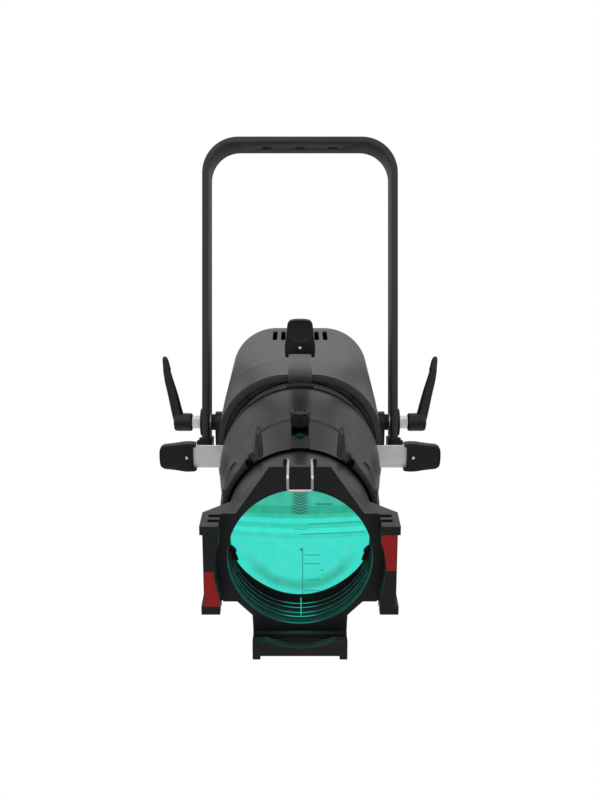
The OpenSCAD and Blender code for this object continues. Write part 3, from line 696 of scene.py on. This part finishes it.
def shutter_handle(name, turn, level, reach):
    """A handle with finger pads and the two heads of its rivet, turned about the beam."""
    node = name + "_shutter_handle"
    shift = Matrix.Translation((0, reach - HANDLE_OUTLINE[0][1], level))
    place = OPTIC @ Matrix.Rotation(math.radians(turn), 4, "Z") @ shift
    handle = piece(node + "_moulding", handle_part(), place)
    for side in (1, -1):
        combine(handle, piece("pad_tool", pad_tool(side), place))
    dress(handle, BODY_OF[node], SLOT_OF[node], node, sharp=40)
    rivet_y = 130.3
    shank = handle_half_thickness(rivet_y)
    profile = [(0, -shank - 0.6), (1.1, -shank - 0.55), (1.6, -shank - 0.3), (1.7, -shank), (1.7, shank),
               (1.6, shank + 0.3), (1.1, shank + 0.55), (0, shank + 0.6)]
    rivet = moved(turned(profile, 32), Matrix.Translation((0, rivet_y, 0)))
    rivet = piece(name + "_shutter_rivet", rivet, place)
    dress(rivet, BODY_OF[node], "blade_steel")


def steel_with_painted_shade():
    """Blade steel with painted shade and a painted dark reflection, darker towards the gate."""
    f = Finish("steel_with_painted_shade", Metallic=1.0)
    rounded, _ = f.edges(0.3)
    height = f.math("ADD", f.along(UPWARD, OPTIC @ Vector((0, 0, 0))), f.math("MULTIPLY", f.noise(6, 3), 3))
    streaks = f.noise(0.35, 3, 0.6, (1, 1, 18))
    unshaded = f.blend(f.spread(streaks, 0, 1), (0.62, 0.62, 0.61), (0.5, 0.5, 0.49))
    # painted shade: the steel turns near black towards the gate, where the barrel shades it and shows dark in it
    f.set("Base Color", f.blend(f.spread(height, 1, 0, 84, 116), unshaded, (0.05, 0.05, 0.05)))
    f.set("Roughness", f.spread(streaks, 0.32, 0.44))
    f.bump(streaks, 0.02, rounded)
    return f.material


def shutter_blade(name, turn, level, reach):
    """A blade of sheet steel: a long tongue, and the wide head that cuts the beam."""
    node = name + "_shutter_blade"
    place = OPTIC @ Matrix.Rotation(math.radians(turn), 4, "Z") @ Matrix.Translation((0, 0, level))
    half, neck, head, ease = 13.5, 73, 32, 2.5
    root = 43
    outline = [(half, reach - 20), (half, neck + ease), (half + ease * 0.3, neck + ease * 0.3)]
    outline += [(half + ease, neck), (head - ease, neck), (head, neck - ease), (head, root + ease)]
    outline.append((head - ease, root))
    outline += [(-x, y) for x, y in reversed(outline)]
    rings = [[(x, y, z) for x, y in shrunk(outline, inset, (0, 60))] for inset, z in
             ((0.12, -0.6), (0, -0.48), (0, 0.48), (0.12, 0.6))]
    blade = piece(node + "_sheet", skin(rings), place)
    # only the top blade takes the steel with painted shade near the gate
    dress(blade, BODY_OF[node], SLOT_OF[node], node, finish=steel_with_painted_shade() if name == "top" else None)


# Turn about the beam, level of the blade, level of the handle, and reach of each shutter.
SHUTTERS = {
    "top": (0, 154.8, 158.6, 161), "bottom": (180, 154.8, 158.6, 161),
    "left": (90, 160, 160, 162), "right": (-90, 160, 160, 162),
}
for shutter, (turn, blade_level, grip_level, reach) in SHUTTERS.items():
    shutter_handle(shutter, turn, grip_level, reach)
    shutter_blade(shutter, turn, blade_level, reach)


# ---- Tilt levers ----

# Height above the tilt axis, distance across, half width and half depth of the arm's sections
LEVER_SECTIONS = [
    (-10.5, 157.3, 2.2, 3.6), (-9.5, 157.4, 4.4, 5.6), (-6, 157.5, 6.2, 7.0), (3, 157.8, 7.4, 7.5),
    (12, 159.8, 7.4, 7.5), (22, 162.2, 7.1, 7.2), (32, 164.6, 6.8, 6.8), (42, 167.2, 6.5, 6.4),
    (51, 169.8, 6.1, 6.0), (59, 171.8, 5.5, 5.6), (66, 173.4, 4.9, 5.2), (69.5, 173.4, 5.1, 5.2),
    (72.5, 174.0, 4.6, 5.0), (78, 174.9, 4.3, 4.7), (82, 175.6, 3.6, 4.1), (84.5, 176.2, 2.6, 3.1),
    (85.6, 176.5, 1.2, 1.6),
]


def superellipse(x, y, half_x, half_y, z, power=2.7, sides=36):
    ring = []
    for i in range(sides):
        t = 2 * math.pi * i / sides
        c, s = math.cos(t), math.sin(t)
        ring.append((
            x + half_x * math.copysign(abs(c) ** (2 / power), c),
            y + half_y * math.copysign(abs(s) ** (2 / power), s), z,
        ))
    return ring


def tilt_lever(side):
    node = side + "_tilt_lever"
    sign = SIDES[side]
    place = HANGING @ Matrix.Diagonal((sign, 1, 1, 1))
    arm = skin([superellipse(x, 0, hx, hy, z) for z, x, hx, hy in LEVER_SECTIONS])
    hub = [(0, 140), (9.6, 140), (11.2, 140.5), (11.7, 142), (11.7, 159), (11.2, 161.4), (10.2, 163),
           (9, 163.5), (4.8, 163.5), (4.6, 163.2), (4.6, 161.6), (0, 161.5)]
    hub = moved(turned(hub, 48), Matrix.Rotation(math.radians(90), 4, "Y"))
    lever = piece(node + "_moulding", arm, place)
    combine(lever, piece("lever_hub", hub, place), "UNION")
    pocket = turned([(0, 161.5), (4.6, 161.5), (4.6, 190), (0, 190)], 32)
    combine(lever, piece("lever_pocket", moved(pocket, Matrix.Rotation(math.radians(90), 4, "Y")), place))
    remesh = lever.modifiers.new("mould", "REMESH")
    remesh.mode, remesh.voxel_size = "VOXEL", 0.55 * MM
    smooth = lever.modifiers.new("ease", "SMOOTH")
    smooth.factor, smooth.iterations = 0.6, 5
    settle(lever)
    dress(lever, BODY_OF[node], SLOT_OF[node], node, sharp=60)


for side in SIDES:
    tilt_lever(side)


# ---- Focus knob and frame clip ----

KNOB_AT = 315
STAND = Matrix.Translation((0, 0, KNOB_AT)) @ Matrix.Rotation(math.radians(-90), 4, "X")


def knob_swell(angle, height):
    ribs = 0.9 * max(0, math.cos(18 * angle)) ** 0.7 * window(height, 87.2, 96.8, 0.6)
    lobes = 1.6 * (0.5 + 0.5 * math.cos(8 * angle)) * window(height, 98.4, 100.4, 0.7)
    return ribs + lobes


def focus_knob():
    profile = [
        (0, 95.6), (3.05, 95.6), (3.05, 85.7), (7.6, 85.7), (8.3, 86), (8.6, 86.6), (8.6, 87.2), (8.6, 88),
        (8.6, 90), (8.6, 93), (8.6, 96), (8.6, 96.8), (8.6, 97.4), (8.5, 97.8), (8.7, 98.4), (8.8, 99),
        (8.8, 99.8), (8.7, 100.4), (8.2, 100.8), (7.5, 101), (6.9, 100.9), (6.4, 100.5), (6.1, 99.9),
        (5.4, 99.7), (3.4, 99.9), (0, 100.1),
    ]
    knob = piece("focus_knob_moulding", turned(profile, 216, knob_swell), OPTIC @ STAND)
    dress(knob, BODY_OF["focus_knob"], SLOT_OF["focus_knob"], "focus_knob", sharp=45)


def frame_clip():
    corners = [(14.6, 90, 430), (10.4, 90, 430), (10.4, 90, 474), (10.4, 77.5, 474)]
    corners += [(-x, v, s) for x, v, s in reversed(corners)]
    wire = piece("frame_clip_wire", tube_along(rounded_path(corners, 2.2), 1.2), OPTIC)
    dress(wire, BODY_OF["frame_clip"], SLOT_OF["frame_clip"], "frame_clip")


focus_knob()
frame_clip()


# ---- Light seen in the lens ----

LIT_AT = 383.95
LIT_RADIUS = 66.1
# Emission across the beam from the top down: each colour, and the height where it ends.
LIT_BANDS = [
    ((0.038, 0.47, 0.34), 28.2), ((0.013, 0.39, 0.24), 20), ((0.026, 0.5, 0.34), 16),
    ((0.033, 0.75, 0.6), 11), ((0.027, 0.6, 0.44), 6), ((0.034, 0.79, 0.645), 1),
    ((0.033, 0.645, 0.52), -4), ((0.04, 0.72, 0.59), -66),
]
LIT_DIM = (0.03, 0.4, 0.27)
LIT_LINE = (0.012, 0.16, 0.12)
LIT_SHADE = (0.008, 0.12, 0.085)
LIT_GLINT = (0.3, 0.95, 0.85)
# Parts of the optics that show as thin lines: middle across and up, half length, half width, slope.
LIT_MARKS = [
    (22.7, 30, 8, 0.7, 0), (31.9, 11.3, 24.7, 0.35, 0.055), (30.5, 1.1, 29.9, 0.35, 0.034),
    (0.1, 5.1, 6.1, 0.3, 0), (1.5, -15.3, 1.3, 1.3, 0), (2.5, -40, 0.35, 23, 0), (11.6, -20.7, 7.2, 0.4, 0),
    (11.6, -29.5, 7.2, 0.4, 0), (21.1, -36.3, 1.5, 0.5, 0), (11.6, -46.3, 7.2, 0.4, 0),
    (11.6, -57.9, 7.2, 0.4, 0),
]
COIL = (0.1, 30.4, 6.1, 10.4, 2.9)


def lit_finish():
    """Emission in soft bands across the beam, as the lit optics look through the front lens."""
    f = Finish("lit_optics", Emission_Strength=1.0, Roughness=0.6)
    f.set("Base Color", f.blend(f.noise(12), (0.0, 0.006, 0.005), (0.0, 0.01, 0.008)))
    centre = OPTIC @ Vector((0, 0, LIT_AT))
    height, side = f.along(UPWARD, centre), f.along(ACROSS, centre)
    bow = f.math("MULTIPLY", f.math("MULTIPLY", side, side), 0.0007)
    wobble = f.math("MULTIPLY", f.math("SUBTRACT", f.noise(45, 2), 0.5), 1.2)
    level = f.math("ADD", f.math("SUBTRACT", height, bow), wobble)
    share = f.math("DIVIDE", f.math("ADD", level, LIT_RADIUS), 2 * LIT_RADIUS)
    glow = f.ramp(share, lit_stops())
    radius = f.math("SQRT", f.math("ADD", f.math("MULTIPLY", side, side), f.math("MULTIPLY", height, height)))
    low = f.spread(height, 1, 0, -45, -8)
    ringed = f.math("MULTIPLY", f.spread(radius, 0, 0.75, 43, 51), f.spread(radius, 1, 0, 53, 60))
    glow = f.blend(f.math("MULTIPLY", ringed, low), glow, LIT_DIM)
    ripple = f.spread(f.math("PINGPONG", radius, 3.1), 0, 0.12, 2.2, 3.0)
    glow = f.blend(f.math("MULTIPLY", ripple, low), glow, LIT_DIM)
    glow = f.blend(f.spread(f.noise(9, 3), 0, 0.08), glow, LIT_GLINT)
    for mark in LIT_MARKS:
        glow = f.blend(lit_mark(f, side, height, *mark), glow, LIT_LINE)
    x, v, half_x, half_v, pitch = COIL
    across = f.math("ABSOLUTE", f.math("SUBTRACT", side, x))
    foot = v - half_v
    shade = f.math("MULTIPLY", f.spread(across, 0.75, 0, 3, 10), f.spread(height, 0, 1, foot - 1, foot + 1))
    glow = f.blend(shade, glow, LIT_SHADE)
    turns = f.math("PINGPONG", f.math("ADD", height, f.math("MULTIPLY", across, -0.45)), pitch / 2)
    coil = lit_mark(f, side, height, x, v, half_x, half_v, 0)
    glow = f.blend(f.math("MULTIPLY", coil, f.spread(turns, 0.75, 0, 0.25, 0.8)), glow, LIT_LINE)
    glow = f.blend(f.math("MULTIPLY", coil, f.spread(turns, 0, 0.5, 1.1, 1.4)), glow, LIT_GLINT)
    f.set("Emission Color", glow)
    return f.material


def lit_stops(soft=0.35):
    """Ramp stops for the bands, each edge spread over twice soft millimetres."""
    share = [(end + LIT_RADIUS) / (2 * LIT_RADIUS) for _, end in LIT_BANDS]
    stops = [(1.0, LIT_BANDS[0][0])]
    for (upper, _), (lower, _), at in zip(LIT_BANDS, LIT_BANDS[1:], share):
        step = soft / (2 * LIT_RADIUS)
        stops += [(at + step, upper), (at - step, lower)]
    return stops + [(0.0, LIT_BANDS[-1][0])]


def lit_mark(f, side, height, x, v, half_x, half_v, slope):
    """Mask of one mark: 1 inside a box that leans by slope."""
    across = f.math("SUBTRACT", side, x)
    up = f.math("SUBTRACT", f.math("SUBTRACT", height, v), f.math("MULTIPLY", across, slope))
    inside_x = f.spread(f.math("ABSOLUTE", across), 0.85, 0, half_x - 0.3, half_x + 0.3)
    inside_v = f.spread(f.math("ABSOLUTE", up), 1, 0, half_v - 0.3, half_v + 0.3)
    return f.math("MULTIPLY", inside_x, inside_v)


def disc_part(radius, front, back, sides=96, steps=24):
    """A round plate across the beam, with its face split into rings."""
    rings = []
    for i in range(steps + 1):
        r = radius * i / steps or 0.01
        rings.append([
            (r * math.cos(a), r * math.sin(a), front) for a in (2 * math.pi * k / sides for k in range(sides))
        ])
    return skin(rings + [[(x, y, back) for x, y, _ in rings[-1]]])


def lit_optics():
    """The glowing face behind the front lens, with a black plate at its back."""
    face = piece("lit_optics", disc_part(LIT_RADIUS, LIT_AT, LIT_AT - 0.4), OPTIC)
    dress(face, "lens_tube", "emitter", finish=lit_finish())
    plate = piece("optics_back_plate", disc_part(LIT_RADIUS, LIT_AT - 0.45, LIT_AT - 2), OPTIC)
    dress(plate, "lens_tube", "black_plastic")


# Lip of the lens retainer: angle from its lowest point, and inner radius.
LIP = [
    (0, 57.1), (20, 57.4), (37.7, 58.4), (50, 60.1), (61, 62.2), (70, 63.6), (74, 62.4), (78, 60.6),
    (82, 61.6), (85, 65.4), (86, 66.1),
]


def retainer_lip():
    """Crescent at the bottom of the lens, with the small clips' teeth at its ends."""
    rings = []
    for t in spaced(-86, 86, 1):
        a, inner = math.radians(t), along_table(LIP, abs(t))
        notch = 0.9 * window(abs(t), 72, 83, 0.5) * (0.5 + 0.5 * math.copysign(1, math.sin(2.4 * abs(t))))
        section = ((inner + notch, 396.05), (66.3, 396.05), (66.3, 397.3), (inner + notch + 0.3, 397.3))
        rings.append([(r * math.sin(a), -r * math.cos(a), s) for r, s in section])
    lip = piece("lens_retainer_lip", skin(rings), OPTIC)
    dress(lip, "lens_tube", "black_plastic")


# Lit edges in the tube's bore: distance along the beam, and width at the sides and at the bottom.
BORE_EDGES = ((399.8, 0.35, 1.3), (408.4, 0.4, 1.1), (418.6, 0.5, 1.2), (426.2, 0.35, 1.5), (438.4, 0.3, 0.3))
BORE_RADIUS = 65.1


def bore_glints():
    """Edges that catch the light low in the bore, and the lit seam between the tube's halves."""
    parts = []
    for s, thin, thick in BORE_EDGES:
        rings = []
        for t in spaced(-72, 72, 1.5):
            a = math.radians(t)
            half = (thin + (thick - thin) * (1 - rise(abs(t), 11, 15))) / 2
            section = ((BORE_RADIUS, s - half), (BORE_RADIUS, s + half), (BORE_RADIUS + 0.3, s))
            rings.append([(r * math.sin(a), -r * math.cos(a), z) for r, z in section])
        parts.append(skin(rings))
    parts.append(box_part((0.5, -BORE_RADIUS, 397.5), (1.4, 0.3 - BORE_RADIUS, 424)))
    parts.append(box_part((0.5, -BORE_RADIUS, 397.4), (1.4, -60, 397.6)))
    f = Finish("bore_glints", Emission_Strength=1.0, Roughness=0.6)
    f.set("Base Color", f.blend(f.noise(4), (0.0, 0.006, 0.005), (0.0, 0.01, 0.008)))
    side = f.math("ABSOLUTE", f.along(ACROSS, OPTIC @ Vector((0, 0, 0))))
    patchy = f.blend(f.spread(f.noise(5, 3), 0, 1), (0.004, 0.07, 0.05), (0.012, 0.2, 0.15))
    f.set("Emission Color", f.blend(f.spread(side, 1, 0, 6, 24), patchy, (0.02, 0.52, 0.4)))
    dress(piece("bore_glints", merged(*parts), OPTIC), "lens_tube", "emitter", finish=f.material)


# The leaked light's half width, middle height, half height, and its faces along the beam.
GLOW = (3.9, 77.4, 2.2, (319.9, 320.2))


def slot_glow():
    """Light that leaks from the tube past the focus slider."""
    half, middle, tall, faces = GLOW
    turns = [math.pi * k / 16 for k in range(32)]
    outline = [(half * math.cos(t), middle + tall * math.sin(t)) for t in turns]
    spot = piece("slot_glow", skin([[(x, v, s) for x, v in outline] for s in faces]), OPTIC)
    f = Finish("leaked_light", Emission_Strength=0.4, Roughness=0.6)
    f.set("Base Color", f.blend(f.noise(4), (0.0, 0.006, 0.005), (0.0, 0.01, 0.008)))
    f.set("Emission Color", f.blend(f.spread(f.noise(2), 0, 1), (0.002, 0.03, 0.02), (0.004, 0.07, 0.05)))
    dress(spot, "lens_tube", "emitter", finish=f.material)


# Radii of the black bands painted as shadow in the gaps round the gate, and where each starts and ends along the
# beam.
BAND_RADII = (86.65, 86.95)
BAND_SPANS = ((147.6, 153), (173, 177.4))


def gate_shadow_bands():
    """Black bands painted as the shadow in the gaps at the gate's back and where the barrel joins it."""
    bands = [lathe_ring(*BAND_RADII, low, high, 0.1, 128) for low, high in BAND_SPANS]
    dress(piece("gate_shadow_bands", merged(*bands), OPTIC), BODY_OF["gate_ring"], "black_plastic",
          finish=FINISH["black_rubber"])


def tube_plate():
    """Blank plate on top of the tube."""
    rings = []
    for t in spaced(-8.2, 13.2, 1.07):
        a = math.radians(t)
        section = ((70.8, 365), (71.2, 365.3), (71.2, 395.7), (70.8, 396))
        rings.append([(r * math.sin(a), r * math.cos(a), s) for r, s in section])
    plate = piece("tube_plate", skin(rings), OPTIC)
    dress(plate, "lens_tube", "casting_paint")


# Bright washers at the pivots: distance across of their inner face, radii and thickness.
PIVOT_RING = (114.9, 8.6, 11.3, 2)


def pivot_rings():
    """Bright washers between the yoke's legs and the lamp."""
    across, inner, outer, thick = PIVOT_RING
    for name, sign in SIDES.items():
        lie = Matrix.Translation((sign * across, 0, 0)) @ Matrix.Rotation(math.radians(sign * 90), 4, "Y")
        washer = piece(name + "_pivot_ring", moved(lathe_ring(inner, outer, 0, thick), lie), HANGING)
        dress(washer, "yoke", "bright_steel")


# Centres of the sockets seen from behind, with the number of contacts and their circle's radius.
SOCKET_ROWS = ((-38, 3, 5.2), (-8, 5, 4.6))
SOCKETS = [(side * 28, v, pins, circle) for side in SIDES.values() for v, pins, circle in SOCKET_ROWS]
PANEL_AT = -182.4
PIN_RADIUS = 0.9
PIN_LENGTH = 15


def socket_contacts():
    """Contacts standing in the bottom of each socket."""
    pins = []
    for x, v, count, circle in SOCKETS:
        for i in range(count):
            a = 2 * math.pi * (i + 0.5) / count
            profile = [(0, 1), (PIN_RADIUS, 1.4), (PIN_RADIUS, PIN_LENGTH), (0, PIN_LENGTH)]
            pin = turned([(r, PANEL_AT + depth) for r, depth in profile], 16)
            centre = (x + circle * math.cos(a), v + circle * math.sin(a), 0)
            pins.append(moved(pin, Matrix.Translation(centre)))
    dress(piece("socket_contacts", merged(*pins), OPTIC), "lamp", "bright_steel")


lit_optics()
retainer_lip()
bore_glints()
socket_contacts()
slot_glow()
gate_shadow_bands()
tube_plate()
pivot_rings()


# ---- CAD nodes that keep their shape, or get rounded edges ----

ROUNDED = {"yoke": 1.0, "pivot_discs": 0.6, "yoke_end_caps": 1.2}
REPAINTED = {
    "front_bezel": "housing_paint", "gate_ring": "housing_paint", "focus_stud": "black_rubber",
    "focus_slider": "black_rubber",
}
for node, width in ROUNDED.items():
    soften(node, width)

for node, obj in NODES.items():
    finish = FINISH[REPAINTED.get(node, SLOT_OF[node])]
    for i in range(max(1, len(obj.material_slots))):
        if obj.material_slots:
            obj.material_slots[i].material = finish
        else:
            obj.data.materials.append(finish)


# ---- Floor, light and camera ----

FLOOR_LEVEL = -1.2
FLOOR_RADIUS = 0.78
# The studio's brightness by height along the direction SKY_LEAN
SKY_LEAN = (0, -0.3, 1)
SKY = ((-1, 0.22), (-0.5, 0.3), (0, 0.55), (0.3, 0.9), (0.7, 1.1))
CAMERA_AT = (0, -1.369, -0.3363)
LENS = 47.25


def floor_finish():
    f = Finish("pale_floor", Roughness=0.8)
    f.set("Base Color", f.blend(f.noise(60, 4), (0.8, 0.8, 0.79), (0.86, 0.86, 0.85)))
    f.bump(f.noise(3, 3), 0.1)
    return f.material


def floor():
    sides = 96
    turns = [2 * math.pi * i / sides for i in range(sides)]
    outline = [(FLOOR_RADIUS * math.cos(t), FLOOR_RADIUS * math.sin(t)) for t in turns]
    rings = [[(x, y, FLOOR_LEVEL - depth) for x, y in outline] for depth in (0, 0.02)]
    slab = piece("floor", skin(rings), Matrix.Identity(4))
    slab.data.materials.append(floor_finish())


def studio():
    """White surroundings, brighter above and in front, and pure white where the camera sees them."""
    world = bpy.data.worlds.new("studio")
    bpy.context.scene.world = world
    world.use_nodes = True
    tree = world.node_tree
    tree.nodes.clear()
    add, link = tree.nodes.new, tree.links.new
    coordinates = add("ShaderNodeTexCoord")
    lean = add("ShaderNodeVectorMath")
    lean.operation = "DOT_PRODUCT"
    lean.inputs[1].default_value = SKY_LEAN
    link(coordinates.outputs["Generated"], lean.inputs[0])
    spread = add("ShaderNodeMapRange")
    spread.inputs["From Min"].default_value = -1
    link(lean.outputs["Value"], spread.inputs["Value"])
    sky = add("ShaderNodeValToRGB")
    while len(sky.color_ramp.elements) < len(SKY):
        sky.color_ramp.elements.new(0.5)
    for element, (height, level) in zip(sky.color_ramp.elements, SKY):
        element.position = (height + 1) / 2
        element.color = (level, level, level, 1)
    link(spread.outputs["Result"], sky.inputs[0])
    lit, seen, mix = add("ShaderNodeBackground"), add("ShaderNodeBackground"), add("ShaderNodeMixShader")
    link(sky.outputs[0], lit.inputs["Color"])
    seen.inputs["Color"].default_value = (1, 1, 1, 1)
    path = add("ShaderNodeLightPath")
    link(path.outputs["Is Camera Ray"], mix.inputs[0])
    link(lit.outputs[0], mix.inputs[1])
    link(seen.outputs[0], mix.inputs[2])
    link(mix.outputs[0], add("ShaderNodeOutputWorld").inputs["Surface"])


def softbox(name, at, size, power):
    light = bpy.data.lights.new(name, "AREA")
    light.shape, light.size, light.energy = "DISK", size, power
    obj = bpy.data.objects.new(name, light)
    obj.location = at
    obj.rotation_euler = (PIVOT - Vector(at)).to_track_quat("-Z", "Y").to_euler()
    bpy.context.scene.collection.objects.link(obj)


def camera():
    data = bpy.data.cameras.new("camera")
    data.lens, data.sensor_width, data.sensor_fit = LENS, 36, "AUTO"
    data.clip_start, data.clip_end = 0.05, 30
    obj = bpy.data.objects.new("camera", data)
    obj.location, obj.rotation_euler = CAMERA_AT, (math.radians(90), 0, 0)
    bpy.context.scene.collection.objects.link(obj)
    bpy.context.scene.camera = obj


floor()
studio()
softbox("soft_key", (-1.2, -1.6, 1.6), 1.6, 12)
softbox("soft_fill", (1.4, -1.2, 0.6), 1.4, 5)
camera()
bpy.context.scene.view_settings.view_transform = "Standard"
